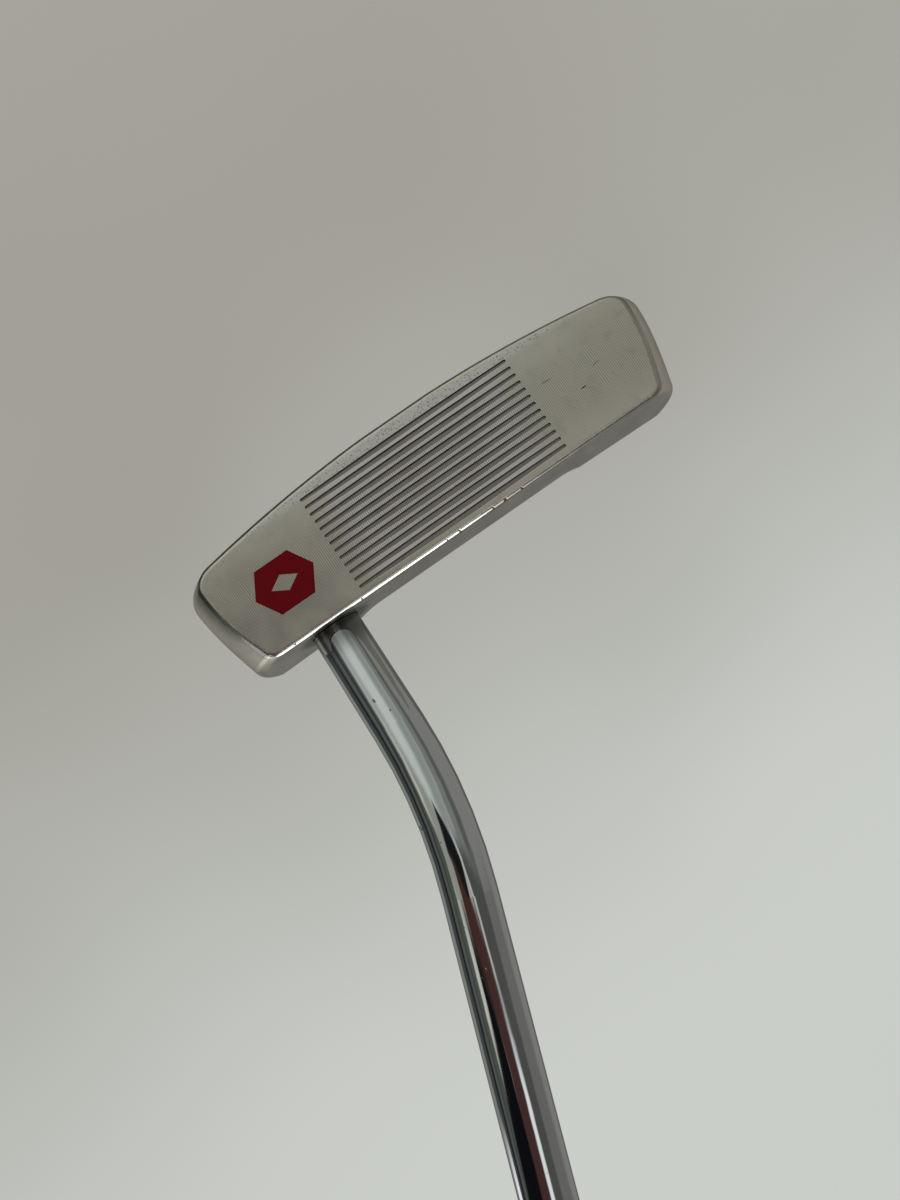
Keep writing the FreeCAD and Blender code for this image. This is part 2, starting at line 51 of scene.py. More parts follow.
def mount(name):
    """Point and outward direction of one of the record's mounts, in metres."""
    found = [entry for entry in RECORD["mounts"] if entry["name"] == name][0]
    return Vector(found["pos_m"]), Vector(found["axis"]).normalized()


FACE_NORMAL = mount("strike_face")[1]
BUTT_POINT, SHAFT_AXIS = mount("butt_vent")
FACE_UP = FACE_NORMAL.cross(Vector((1, 0, 0)))

# ---------------------------------------------------------------- camera

CAMERA_PLACE = Vector((14.65, -164.26, 49.20)) * MM
CAMERA_RIGHT = Vector((-0.8211, 0.0393, 0.5695)).normalized()
CAMERA_DOWN = Vector((0.5701, 0.1069, 0.8146)).normalized()
CAMERA_LENS = 27.06
CAMERA_SENSOR = 36.0
ROOM_UP = -CAMERA_DOWN
ROOM_BACK = CAMERA_RIGHT.cross(ROOM_UP)


def add_camera():
    data = bpy.data.cameras.new("camera")
    data.sensor_width = CAMERA_SENSOR
    data.lens = CAMERA_LENS
    data.clip_start = 0.01
    data.clip_end = 50.0
    camera = bpy.data.objects.new("camera", data)
    turn = Matrix((CAMERA_RIGHT, ROOM_UP, ROOM_BACK)).transposed().to_4x4()
    camera.matrix_world = Matrix.Translation(CAMERA_PLACE) @ turn
    bpy.context.scene.collection.objects.link(camera)
    bpy.context.scene.camera = camera


add_camera()

# ---------------------------------------------------------------- node graphs


class Graph:
    """A node tree with short calls for the nodes that the materials share."""

    def __init__(self, tree):
        self.tree = tree
        tree.nodes.clear()

    def node(self, kind, inputs=(), **settings):
        made = self.tree.nodes.new("ShaderNode" + kind)
        for name, setting in settings.items():
            setattr(made, name, setting)
        for key, value in dict(inputs).items():
            self.feed(made.inputs[key], value)
        return made

    def feed(self, socket, value):
        if isinstance(value, bpy.types.NodeSocket):
            self.tree.links.new(value, socket)
        else:
            socket.default_value = value

    def math(self, operation, *values):
        return self.node("Math", enumerate(values), operation=operation).outputs[0]

    def add(self, *values):
        total = values[0]
        for value in values[1:]:
            total = self.math("ADD", total, value)
        return total

    def times(self, *values):
        total = values[0]
        for value in values[1:]:
            total = self.math("MULTIPLY", total, value)
        return total

    def most(self, *values):
        total = values[0]
        for value in values[1:]:
            total = self.math("MAXIMUM", total, value)
        return total

    def vector(self, operation, *values):
        made = self.node("VectorMath", enumerate(values), operation=operation)
        return made.outputs["Value" if operation in ("DOT_PRODUCT", "LENGTH") else "Vector"]

    def step(self, value, start, end, low=0.0, high=1.0):
        """Smooth step from low at start to high at end."""
        made = self.node("MapRange", {"Value": value, "From Min": start, "From Max": end,
                                      "To Min": low, "To Max": high},
                         interpolation_type="SMOOTHSTEP")
        return made.outputs[0]

    def band(self, value, start, end, soft):
        """1 between start and end, fading to 0 over the soft width at each side."""
        return self.times(self.step(value, start - soft, start + soft),
                          self.step(value, end - soft, end + soft, 1.0, 0.0))

    def mix(self, factor, first, second):
        made = self.node("Mix", {0: factor, 6: first, 7: second}, data_type="RGBA")
        return made.outputs[2]

    def noise(self, place, scale, detail=2.0, roughness=0.5, distortion=0.0):
        made = self.node("TexNoise", {"Vector": place, "Scale": scale, "Detail": detail,
                                      "Roughness": roughness, "Distortion": distortion})
        return made.outputs[0]

    def scaled(self, place, factors):
        return self.vector("MULTIPLY", place, factors)

    def place(self):
        """Position in the object's own frame, in millimetres."""
        found = self.node("TexCoord").outputs["Object"]
        return self.scaled(found, (1 / MM,) * 3)

    def split(self, place):
        return self.node("SeparateXYZ", {0: place}).outputs


def spots(graph, place, marks):
    """Mask of small smooth-edged marks: each is a centre, half sizes along X, Y, Z and a turn
    in the XZ plane in degrees."""
    total = None
    for centre, half, turn in marks:
        cosine = math.cos(math.radians(turn))
        sine = math.sin(math.radians(turn))
        offset = graph.vector("SUBTRACT", place, centre)
        along = graph.vector("DOT_PRODUCT", offset, (cosine / half[0], 0, sine / half[0]))
        deep = graph.vector("DOT_PRODUCT", offset, (0, 1 / half[1], 0))
        across = graph.vector("DOT_PRODUCT", offset, (-sine / half[2], 0, cosine / half[2]))
        square = graph.add(graph.times(along, along), graph.times(deep, deep),
                           graph.times(across, across))
        mark = graph.step(square, 0.35, 1.1, 1.0, 0.0)
        total = mark if total is None else graph.most(total, mark)
    return total


def new_material(name):
    material = bpy.data.materials.new(name)
    material.use_nodes = True
    return material, Graph(material.node_tree)


def finish_material(graph, bump=None, bump_distance=RELIEF_UNIT, **inputs):
    """Principled surface with the given sockets; bump is a height in units of the distance."""
    sockets = {name.replace("_", " "): value for name, value in inputs.items()}
    surface = graph.node("BsdfPrincipled", sockets)
    if bump is not None:
        bumped = graph.node("Bump", {"Height": bump, "Distance": bump_distance})
        graph.feed(surface.inputs["Normal"], bumped.outputs[0])
    output = graph.node("OutputMaterial")
    graph.feed(output.inputs["Surface"], surface.outputs[0])


def dress(node, material):
    """Put a material on every slot of a CAD node."""
    shape = NODES[node]
    if not shape.material_slots:
        shape.data.materials.append(material)
    for slot in shape.material_slots:
        slot.link = "OBJECT"
        slot.material = material


# ---------------------------------------------------------------- studio

WALL = (0.70, 0.685, 0.63)
# Soft panels and dark cards round the studio, fixed in the room, as seen from the object. Each
# has a name, colour, azimuth from and to (0 is behind the photograph's camera, positive to its
# right), lean of those two edges in degrees per degree of height, height from and to, and
# softness, all in degrees. A later panel covers an earlier one.
PANELS = (
    ("dim_ceiling", (0.30, 0.30, 0.28), -181, 181, 0, 62, 91, 8.0),
    ("right_side", (0.27, 0.27, 0.255), 30, 181, 0, -60, 66, 6.0),
    ("left_side", (0.27, 0.275, 0.26), -181, -112, 0, -60, 66, 6.0),
    ("back_right", (0.13, 0.13, 0.122), 140, 181, 0, -50, 40, 6.0),
    ("back_left", (0.13, 0.13, 0.122), -181, -152, 0, -50, 40, 6.0),
    ("right_mid", (0.185, 0.186, 0.178), 50, 103, 0, -40, 8, 8.0),
    ("wall_wide", (0.34, 0.37, 0.35), -54, 16, 0, 2, 66, 10.0),
    ("wall_fade", (0.235, 0.25, 0.235), 16, 38, 0, 2, 66, 8.0),
    ("wall_bright", (0.66, 0.70, 0.66), -44, -14, 0, 6, 66, 9.0),
    ("wall_foot", (0.36, 0.37, 0.33), -50, -26, 0, -18, 5, 4.0),
    ("right_near", (0.095, 0.097, 0.092), 9, 59, 0, -91, 13, 5.0),
    ("right_near_high", (0.13, 0.135, 0.125), 40, 61, 0, 13, 66, 5.0),
    ("screen", (0.065, 0.075, 0.070), -122, -58, 0, -91, 70, 5.0),
    ("screen_low", (0.095, 0.11, 0.09), -66, -50, 0, -40, -10, 3.0),
    ("screen_pane", (0.115, 0.125, 0.12), -84, -73, 0, -91, 70, 2.5),
    ("screen_bar", (0.018, 0.020, 0.022), -97, -87, 0, -91, -12, 2.5),
    ("screen_bar_top", (0.045, 0.050, 0.050), -72, -67, 0, -20, 70, 1.5),
    ("dark_card", (0.012, 0.012, 0.014), -29, 2, 0.6, -7, 9, 1.5),
    ("red_card", (0.075, 0.033, 0.030), -28, 14, 0, -17, -4, 1.5),
    ("dark_card_left", (0.006, 0.006, 0.008), 6, 40, 1.9, -91, -19, 2.5),
    ("dark_card_low", (0.006, 0.006, 0.008), -36, -11, 0, -91, -15, 2.5),
    ("red_card_low", (0.075, 0.035, 0.031), -11, 19, 0, -91, -12, 2.0),
    ("strip_top", (0.62, 0.62, 0.60), 11, 19, -1.2, -6, 11, 2.5),
    ("strip_light", (1.0, 1.05, 1.05), 18, 30, 0, -91, -8, 3.0),
    ("floor_window", (3.2, 3.2, 3.1), 42, 118, 0, -91, -47, 3.0),
    ("left_window", (1.2, 1.2, 1.25), -136, -110, 0, -62, -41, 2.5),
)


def build_world():
    world = bpy.data.worlds.new("studio")
    bpy.context.scene.world = world
    world.use_nodes = True
    graph = Graph(world.node_tree)
    toward = graph.node("TexCoord").outputs["Generated"]
    right = graph.vector("DOT_PRODUCT", toward, tuple(CAMERA_RIGHT))
    back = graph.vector("DOT_PRODUCT", toward, tuple(ROOM_BACK))
    rise = graph.vector("DOT_PRODUCT", toward, tuple(ROOM_UP))
    azimuth = graph.times(graph.math("ARCTAN2", right, back), math.degrees(1))
    height = graph.times(graph.math("ARCSINE", rise), math.degrees(1))
    colour = WALL + (1.0,)
    for _, tint, left, right_end, lean, low, high, soft in PANELS:
        turned = graph.math("SUBTRACT", azimuth, graph.times(height, lean)) if lean else azimuth
        mask = graph.times(graph.band(turned, left, right_end, soft),
                           graph.band(height, low, high, soft))
        colour = graph.mix(mask, colour, tint + (1.0,))
    background = graph.node("Background", {"Color": colour, "Strength": 1.0})
    output = graph.node("OutputWorld")
    graph.feed(output.inputs["Surface"], background.outputs[0])


FLOOR_Z = -1.1
CEILING_Z = 3.1
BACKDROP_RADIUS = 3.4
BACKDROP_CURVE = 1.4
CURVE_STEPS = 12
BACKDROP_SIDES = 72
UNLIT_BY = ("diffuse", "glossy", "transmission", "volume_scatter", "shadow")


def backdrop_profile():
    """Radius and height of the backdrop, from the floor's centre to the ceiling's."""
    flat = BACKDROP_RADIUS - BACKDROP_CURVE
    turns = [math.radians(90) * step / CURVE_STEPS for step in range(CURVE_STEPS + 1)]
    low = [(flat + BACKDROP_CURVE * math.sin(turn),
            FLOOR_Z + BACKDROP_CURVE - BACKDROP_CURVE * math.cos(turn)) for turn in turns]
    high = [(flat + BACKDROP_CURVE * math.cos(turn),
             CEILING_Z - BACKDROP_CURVE + BACKDROP_CURVE * math.sin(turn)) for turn in turns]
    return [(0.0, FLOOR_Z)] + low + high + [(0.0, CEILING_Z)]


def build_floor():
    """A plain pale floor well below the object that curves up into walls and a ceiling. Only the
    camera sees it."""
    profile = backdrop_profile()
    rings = len(profile)
    corners = []
    for side in range(BACKDROP_SIDES):
        angle = 2 * math.pi * side / BACKDROP_SIDES
        for reach, level in profile:
            corners.append((reach * math.cos(angle), reach * math.sin(angle), level))
    faces = []
    for side in range(BACKDROP_SIDES):
        here = side * rings
        after = (side + 1) % BACKDROP_SIDES * rings
        for ring in range(rings - 1):
            faces.append((here + ring, here + ring + 1, after + ring + 1, after + ring))
    mesh = bpy.data.meshes.new("studio_floor")
    mesh.from_pydata(corners, [], faces)
    mesh.shade_smooth()
    floor = bpy.data.objects.new("studio_floor", mesh)
    bpy.context.scene.collection.objects.link(floor)
    for kind in UNLIT_BY:
        setattr(floor, "visible_" + kind, False)
    material, graph = new_material("pale_floor")
    place = graph.node("TexCoord").outputs["Object"]
    cloud = graph.noise(place, 0.7, detail=1.0)
    # The floor's light is painted: it glows, dimmer low down and brighter toward the ceiling,
    # mottled by the cloud.
    level = graph.add(graph.split(place)[2], graph.times(cloud, 0.8))
    rise = graph.step(level, FLOOR_Z - 0.5, CEILING_Z - 1.2)
    glow = graph.mix(rise, (0.178, 0.165, 0.136, 1), (0.52, 0.540, 0.515, 1))
    colour = graph.mix(cloud, (0.24, 0.24, 0.23, 1), (0.27, 0.27, 0.26, 1))
    finish_material(graph, Base_Color=colour, Roughness=0.95, Specular_IOR_Level=0.0,
                    Emission_Color=glow, Emission_Strength=1.0)
    mesh.materials.append(material)


build_world()
build_floor()
bpy.context.scene.view_settings.view_transform = "Standard"

# ---------------------------------------------------------------- head steel

# Sizes of the face milling, in millimetres, as the part has them.
GROOVE_PITCH = 1.519
GROOVE_HALF_LENGTH = 21.7
GROOVE_HALF_MIDDLE = 0.5
GROOVE_HALF_END = 0.28
FIELD_BELOW_TOP = 11.12
TOP_POINT = Vector((0.0, -11.0, 23.5))
SOCKET_POINT = Vector((29.66, -3.0, 23.5))
FIELD_HALF_LENGTH = 22.0
FIELD_HALF_HEIGHT = 9.65
FLANGE_Z = 7.5
FLANGE_SWING_CENTRE = Vector((-38.0, 64.0, FLANGE_Z))
FLANGE_LINE_PITCH = 0.42
CUTTER_PITCH = 0.37
CUTTER_BAND_MIDDLE = 10.4

# Marks of use on the steel: centre, half sizes along X, Y and Z, and turn in degrees.

FACE_NICKS = (
    ((-30.1, -11.4, 15.0), (0.62, 0.8, 0.13), 4),
    ((-25.4, -11.5, 10.4), (1.35, 0.8, 0.07), -5),
    ((36.3, -11.0, 23.2), (0.22, 0.8, 0.2), 0),
    ((-34.2, -11.5, 12.7), (0.9, 0.8, 0.05), 10),
)
EDGE_NICKS = (
    ((-11.2, -10.8, 23.5), (0.25, 0.9, 0.6), 20),
    ((-7.6, -10.8, 23.5), (0.35, 0.9, 0.6), -30),
    ((-5.1, -10.7, 23.5), (0.22, 0.7, 0.5), 0),
    ((1.9, -10.8, 23.5), (0.26, 0.8, 0.6), 15),
    ((4.6, -10.7, 23.5), (0.16, 0.6, 0.5), 0),
    ((22.5, -10.9, 23.5), (0.22, 0.6, 0.4), 0),
)
DECK_DASHES = (
    ((-2.9, -9.3, 23.5), (0.5, 0.28, 0.5), 0),
    ((-1.7, -9.1, 23.5), (0.3, 0.22, 0.5), 0),
    ((3.1, -9.5, 23.5), (0.5, 0.26, 0.5), 0),
    ((4.2, -9.4, 23.5), (0.3, 0.2, 0.5), 0),
    ((14.2, -1.1, 23.5), (0.3, 0.1, 0.5), 0),
)


def head_steel():
    material, graph = new_material("head_steel")
    place = graph.place()
    x, y, z = graph.split(place)[:3]
    normal = graph.node("NewGeometry").outputs["Normal"]
    normal_rise = graph.split(normal)[2]
    from_top = graph.vector("SUBTRACT", place, tuple(TOP_POINT))
    lift = graph.vector("DOT_PRODUCT", from_top, tuple(FACE_NORMAL))
    below_top = graph.times(graph.vector("DOT_PRODUCT", from_top, tuple(FACE_UP)), -1.0)
    facing = graph.vector("DOT_PRODUCT", normal, tuple(FACE_NORMAL))

    # Where on the head a point lies.
    near_face = graph.step(lift, -0.9, -0.7)
    land = graph.times(graph.step(lift, -0.03, -0.01), graph.step(facing, 0.985, 0.999))
    row = graph.math("SUBTRACT", below_top, FIELD_BELOW_TOP)
    from_middle = graph.math("ABSOLUTE", x)
    in_field = graph.times(
        graph.step(from_middle, FIELD_HALF_LENGTH - 0.1, FIELD_HALF_LENGTH + 0.1, 1.0, 0.0),
        graph.step(graph.math("ABSOLUTE", row), FIELD_HALF_HEIGHT - 0.15,
                   FIELD_HALF_HEIGHT + 0.15, 1.0, 0.0))
    recess = graph.times(in_field, near_face, graph.step(lift, -0.06, -0.02, 1.0, 0.0))
    # Mask for painted shade on the groove walls.
    wall = graph.times(near_face, in_field, graph.step(facing, 0.3, 0.8, 1.0, 0.0))
    rim = graph.times(graph.step(facing, 0.80, 0.985, 1.0, 0.0), graph.step(lift, -0.98, -0.9),
                      graph.math("SUBTRACT", 1.0, in_field))
    # Painted shade on the rounded edges at the sole and at the ends.
    shaded_rim = graph.times(rim, graph.step(normal_rise, 0.25, 0.05))

    # Top edge: painted highlight on wear toward the heel, painted shade toward the toe; a painted
    # shadow rings the socket.
    top_rim = graph.times(rim, graph.step(normal_rise, 0.1, 0.3))
    worn_and_highlit_rim = graph.times(top_rim, graph.step(x, -7.0, 1.0))
    toe_shaded_rim = graph.times(top_rim, graph.step(x, -7.0, 1.0, 1.0, 0.0))
    # Painted shadow: a dark ring on the steel round the socket.
    from_socket = graph.vector("LENGTH", graph.vector("SUBTRACT", place, tuple(SOCKET_POINT)))
    socket_shadow = graph.step(from_socket, 5.6, 8.2, 1.0, 0.0)

    # Distance across a groove from its centre line, in half widths: 1 at the sole side.
    turns = graph.math("ADD", graph.math("DIVIDE", row, GROOVE_PITCH), 0.5)
    phase = graph.math("SUBTRACT", graph.math("FRACT", graph.math("ADD", turns, 100.0)), 0.5)
    along = graph.math("DIVIDE", x, GROOVE_HALF_LENGTH)
    half_width = graph.add(GROOVE_HALF_MIDDLE,
                           graph.times(graph.times(along, along),
                                       GROOVE_HALF_END - GROOVE_HALF_MIDDLE))
    across = graph.math("DIVIDE", graph.times(phase, GROOVE_PITCH), half_width)
    # Masks for painted shade, near black, along each groove's sole side and top side.
    sole_line = graph.step(across, 0.50, 0.80)
    top_line = graph.step(across, -0.86, -0.64, 1.0, 0.0)

    # Cutter marks: fine lines up the face, strongest in a wide band at mid height.
    waver = graph.noise(graph.scaled(place, (0.4, 0.4, 0.10)), 1.0, detail=1.0)
    ticks = graph.math("SINE", graph.times(graph.add(x, graph.times(waver, 0.5)),
                                           2 * math.pi / CUTTER_PITCH))
    off_band = graph.math("ABSOLUTE", graph.math("SUBTRACT", below_top, CUTTER_BAND_MIDDLE))
    level = graph.math("SUBTRACT", off_band,
                       graph.times(graph.noise(place, 0.11, detail=1.0), 5.0))
    tick_band = graph.times(graph.step(level, 0.5, 7.0, 1.0, 0.12), land)
    grain = graph.noise(graph.scaled(place, (1.6, 1.6, 0.5)), 4.0, detail=3.0, roughness=0.7)
    speckle = graph.noise(place, 5.5, detail=2.0, roughness=0.6)
    smudge = graph.noise(place, 0.16, detail=3.0, roughness=0.6, distortion=0.6)
    stain = graph.step(graph.noise(place, 0.33, detail=4.0, roughness=0.65), 0.52, 0.72)
    pits = graph.step(graph.noise(place, 2.6, detail=1.0), 0.71, 0.78)

    # Strip between the sole's edge and the first groove, lighter in colour, freckled by small
    # nicks.
    low_strip = graph.times(graph.step(below_top, 19.6, 21.0), land)
    freckle = graph.times(low_strip, graph.step(graph.noise(place, 3.2, detail=2.0), 0.56, 0.66))

    # The back and sole: fine lines left by the cutter, curved on the flange and along the deck.
    swing = graph.vector("LENGTH", graph.vector("SUBTRACT", place, tuple(FLANGE_SWING_CENTRE)))
    flange_lines = graph.math("SINE", graph.times(swing, 2 * math.pi / FLANGE_LINE_PITCH))
    on_flange = graph.times(graph.band(z, FLANGE_Z - 0.05, FLANGE_Z + 0.05, 0.03),
                            graph.step(y, -9.0, -8.0))
    deck_lines = graph.noise(graph.scaled(place, (0.12, 6.0, 6.0)), 1.0, detail=3.0,
                             roughness=0.7)
    scuffs = graph.step(graph.noise(graph.scaled(place, (3.4, 0.16, 0.16)), 1.0, detail=3.0,
                                    roughness=0.6), 0.60, 0.68)
    on_sole = graph.times(graph.step(normal_rise, -0.9, -0.6, 1.0, 0.0),
                          graph.step(lift, -1.6, -1.2, 1.0, 0.0))
    sole_wear = graph.times(scuffs, on_sole)

    nicks = spots(graph, place, FACE_NICKS)
    edge_nicks = spots(graph, place, EDGE_NICKS)
    dashes = spots(graph, place, DECK_DASHES)
    dark_marks = graph.most(nicks, edge_nicks, dashes)

    # Colour.
    steel = graph.mix(smudge, (0.65, 0.60, 0.505, 1), (0.82, 0.765, 0.66, 1))
    steel = graph.mix(graph.times(stain, 0.22), steel, (0.48, 0.45, 0.385, 1))
    speckled = graph.times(graph.step(speckle, 0.3, 0.7), 0.16)
    steel = graph.mix(speckled, steel, (0.70, 0.665, 0.60, 1))
    # Painted highlight: lands toward the middle of the field are painted near white, fading toward
    # its ends.
    bright_land = graph.times(land, in_field, graph.step(from_middle, FIELD_HALF_LENGTH, 13.0))
    steel = graph.mix(graph.times(bright_land, 0.97), steel, (1.0, 0.96, 0.945, 1))
    steel = graph.mix(graph.times(low_strip, 0.75), steel, (0.97, 0.93, 0.89, 1))
    tick_shade = graph.times(graph.step(ticks, -0.2, 0.9), tick_band)
    steel = graph.mix(graph.times(tick_shade, 0.55), steel, (0.24, 0.23, 0.205, 1))
    groove = graph.mix(grain, (0.36, 0.325, 0.30, 1), (0.54, 0.49, 0.455, 1))
    # Painted shade along each groove's sole side and top side.
    groove = graph.mix(sole_line, groove, (0.055, 0.045, 0.040, 1))
    groove = graph.mix(graph.times(top_line, 0.8), groove, (0.05, 0.043, 0.04, 1))
    steel = graph.mix(recess, steel, groove)
    # Painted shade on the groove walls.
    steel = graph.mix(wall, steel, (0.055, 0.046, 0.042, 1))
    steel = graph.mix(graph.times(pits, 0.35), steel, (0.20, 0.18, 0.155, 1))
    steel = graph.mix(graph.times(freckle, 0.65), steel, (0.22, 0.205, 0.18, 1))
    steel = graph.mix(graph.times(sole_wear, 0.5), steel, (0.86, 0.85, 0.83, 1))
    # Painted shade on the rounded sole and end edges.
    steel = graph.mix(graph.times(shaded_rim, 0.85), steel, (0.21, 0.21, 0.195, 1))
    # Painted highlight on the worn top edge toward the heel, and painted shade toward the toe.
    steel = graph.mix(graph.times(worn_and_highlit_rim, 0.7), steel, (0.93, 0.93, 0.92, 1))
    steel = graph.mix(graph.times(toe_shaded_rim, 0.6), steel, (0.20, 0.19, 0.17, 1))
    on_deck = graph.step(normal_rise, 0.8, 0.95)
    steel = graph.mix(graph.times(on_deck, 0.6), steel, (0.60, 0.62, 0.595, 1))
    # Painted shadow round the socket.
    steel = graph.mix(graph.times(socket_shadow, 0.7), steel, (0.10, 0.095, 0.085, 1))
    steel = graph.mix(graph.times(dark_marks, 0.92), steel, (0.035, 0.03, 0.026, 1))

    # Gloss: satin all over, brighter on worn edges and scuffs, dull in the grooves.
    rough = graph.step(smudge, 0.25, 0.75, 0.30, 0.38)
    rough = graph.add(rough, graph.times(bright_land, 0.26), graph.times(low_strip, 0.10))
    rough = graph.add(rough, graph.times(graph.math("SUBTRACT", grain, 0.5), 0.14))
    rough = graph.add(rough, graph.times(rim, -0.14), graph.times(recess, 0.18),
                      graph.times(sole_wear, -0.12), graph.times(stain, 0.06))
    rough = graph.math("MAXIMUM", rough, 0.12)

    # Relief, in units of RELIEF_UNIT.
    relief = graph.add(graph.times(ticks, tick_band, 0.30),
                       graph.times(ticks, bright_land, 0.3),
                       graph.times(grain, 0.35),
                       graph.times(flange_lines, on_flange, 0.35),
                       graph.times(deck_lines, 0.35),
                       graph.times(freckle, -1.2),
                       graph.times(sole_wear, -0.8),
                       graph.times(pits, -0.9),
                       graph.times(dark_marks, -4.0))
    finish_material(graph, bump=relief, Base_Color=steel, Metallic=1.0, Roughness=rough)
    return material


dress("head_body", head_steel())

# ---------------------------------------------------------------- paint, glue and small parts


def enamel(name, dark, light, gloss):
    """Thick paint in a recess: slight orange peel, dust in its surface, darker in patches."""
    material, graph = new_material(name)
    place = graph.place()
    cloud = graph.noise(place, 0.7, detail=3.0)
    peel = graph.noise(place, 3.0, detail=1.0)
    dust = graph.step(graph.noise(place, 9.0, detail=1.0), 0.70, 0.76)
    colour = graph.mix(cloud, dark, light)
    colour = graph.mix(graph.times(dust, 0.05), colour, (0.5, 0.45, 0.42, 1))
    rough = graph.step(cloud, 0.2, 0.8, gloss - 0.05, gloss + 0.10)
    relief = graph.add(graph.times(peel, 1.2), graph.times(cloud, 2.0), graph.times(dust, 0.4))
    finish_material(graph, bump=relief, Base_Color=colour, Roughness=rough,
                    Specular_IOR_Level=0.14)
    return material


def rubber(name, base):
    """Moulded rubber: fine grain, dusty in places and slightly polished by hands."""
    material, graph = new_material(name)
    place = graph.place()
    grain = graph.noise(place, 9.0, detail=2.0, roughness=0.6)
    worn = graph.noise(place, 0.035, detail=3.0, roughness=0.6)
    dust = graph.step(graph.noise(place, 0.5, detail=5.0, roughness=0.7), 0.55, 0.75)
    lighter = tuple(channel * 1.7 for channel in base[:3]) + (1,)
    colour = graph.mix(worn, base, lighter)
    colour = graph.mix(graph.times(dust, 0.25), colour, (0.15, 0.145, 0.135, 1))
    rough = graph.add(graph.step(worn, 0.3, 0.7, 0.38, 0.56), graph.times(grain, 0.1))
    finish_material(graph, bump=grain, bump_distance=0.03 * MM, Base_Color=colour,
                    Roughness=rough, Sheen_Weight=0.08, Sheen_Roughness=0.5)
    return material


def tape_cloth():
    """Crepe paper tape: crinkles across its length and yellowed patches."""
    material, graph = new_material("grip_tape")
    place = graph.place()
    crinkle = graph.noise(graph.scaled(place, (0.6, 0.6, 3.0)), 1.0, detail=3.0)
    patch = graph.noise(place, 0.12, detail=2.0)
    colour = graph.mix(patch, (0.62, 0.56, 0.42, 1), (0.72, 0.68, 0.56, 1))
    rough = graph.step(crinkle, 0.2, 0.8, 0.75, 0.92)
    finish_material(graph, bump=crinkle, bump_distance=0.06 * MM, Base_Color=colour,
                    Roughness=rough)
    return material


def epoxy():
    """Hardened adhesive: grey, slightly glassy, with trapped bubbles."""
    material, graph = new_material("socket_bond")
    place = graph.place()
    cloud = graph.noise(place, 0.9, detail=2.0)
    bubble = graph.step(graph.noise(place, 4.0, detail=0.0), 0.66, 0.74)
    colour = graph.mix(cloud, (0.020, 0.020, 0.020, 1), (0.055, 0.055, 0.052, 1))
    rough = graph.step(cloud, 0.3, 0.7, 0.30, 0.45)
    relief = graph.add(graph.times(cloud, 3.0), graph.times(bubble, -2.0))
    finish_material(graph, bump=relief, Base_Color=colour, Roughness=rough)
    return material


RED = ((0.22, 0.0, 0.006, 1), (0.31, 0.001, 0.010, 1))
BLACK = ((0.010, 0.010, 0.011, 1), (0.024, 0.024, 0.025, 1))
dress("face_mark_paint", enamel("red_enamel", *RED, 0.42))
dress("sight_line_paint", enamel("black_enamel", *BLACK, 0.30))
dress("socket_bond", epoxy())
dress("tip_plug", rubber("tip_plug", (0.018, 0.018, 0.018, 1)))
dress("grip_tape", tape_cloth())
dress("grip_cap", rubber("grip_cap", (0.030, 0.030, 0.031, 1)))

# ---------------------------------------------------------------- chrome

SHAFT_DINGS = (
    ((30.5, -12.0, 39.0), (0.20, 1.0, 0.40), 10),
    ((29.0, -12.7, 41.9), (0.15, 1.0, 0.17), 0),
    ((35.6, -14.6, 60.5), (0.12, 1.0, 0.9), 15),
    ((38.9, -17.0, 84.0), (0.15, 1.0, 0.2), 0),
)


def chrome():
    material, graph = new_material("shaft_chrome")
    place = graph.place()
    cloud = graph.noise(place, 0.05, detail=3.0)
    wave = graph.noise(graph.scaled(place, (0.5, 0.5, 0.06)), 1.0, detail=1.0)
    hair = graph.step(graph.noise(graph.scaled(place, (5.0, 5.0, 0.35)), 1.0, detail=2.0,
                                  roughness=0.6), 0.66, 0.74)
    haze = graph.step(graph.noise(place, 0.25, detail=4.0, roughness=0.65), 0.5, 0.8)
    pit = graph.step(graph.noise(place, 2.2, detail=0.0), 0.86, 0.89)
    dings = spots(graph, place, SHAFT_DINGS)
    colour = graph.mix(cloud, (0.60, 0.615, 0.62, 1), (0.68, 0.69, 0.69, 1))
    colour = graph.mix(graph.times(haze, 0.12), colour, (0.50, 0.49, 0.46, 1))
    # Painted shade: the chrome just above the socket is painted dark, standing in for the deck's
    # dark reflection and the shadow at the joint.
    shaded_foot = graph.step(graph.split(place)[2], 25.5, 30.5, 1.0, 0.0)
    colour = graph.mix(graph.times(shaded_foot, 0.8), colour, (0.17, 0.17, 0.165, 1))
    colour = graph.mix(graph.times(graph.most(dings, pit), 0.8), colour, (0.08, 0.075, 0.07, 1))
    rough = graph.add(graph.step(cloud, 0.3, 0.7, 0.045, 0.075), graph.times(haze, 0.05),
                      graph.times(hair, 0.05), graph.times(dings, 0.25))
    relief = graph.add(graph.times(wave, 1.6), graph.times(hair, -0.05),
                       graph.times(dings, -5.0), graph.times(pit, -1.5))
    finish_material(graph, bump=relief, Base_Color=colour, Metallic=1.0, Roughness=rough)
    return material


dress("shaft", chrome())

# ---------------------------------------------------------------- grip

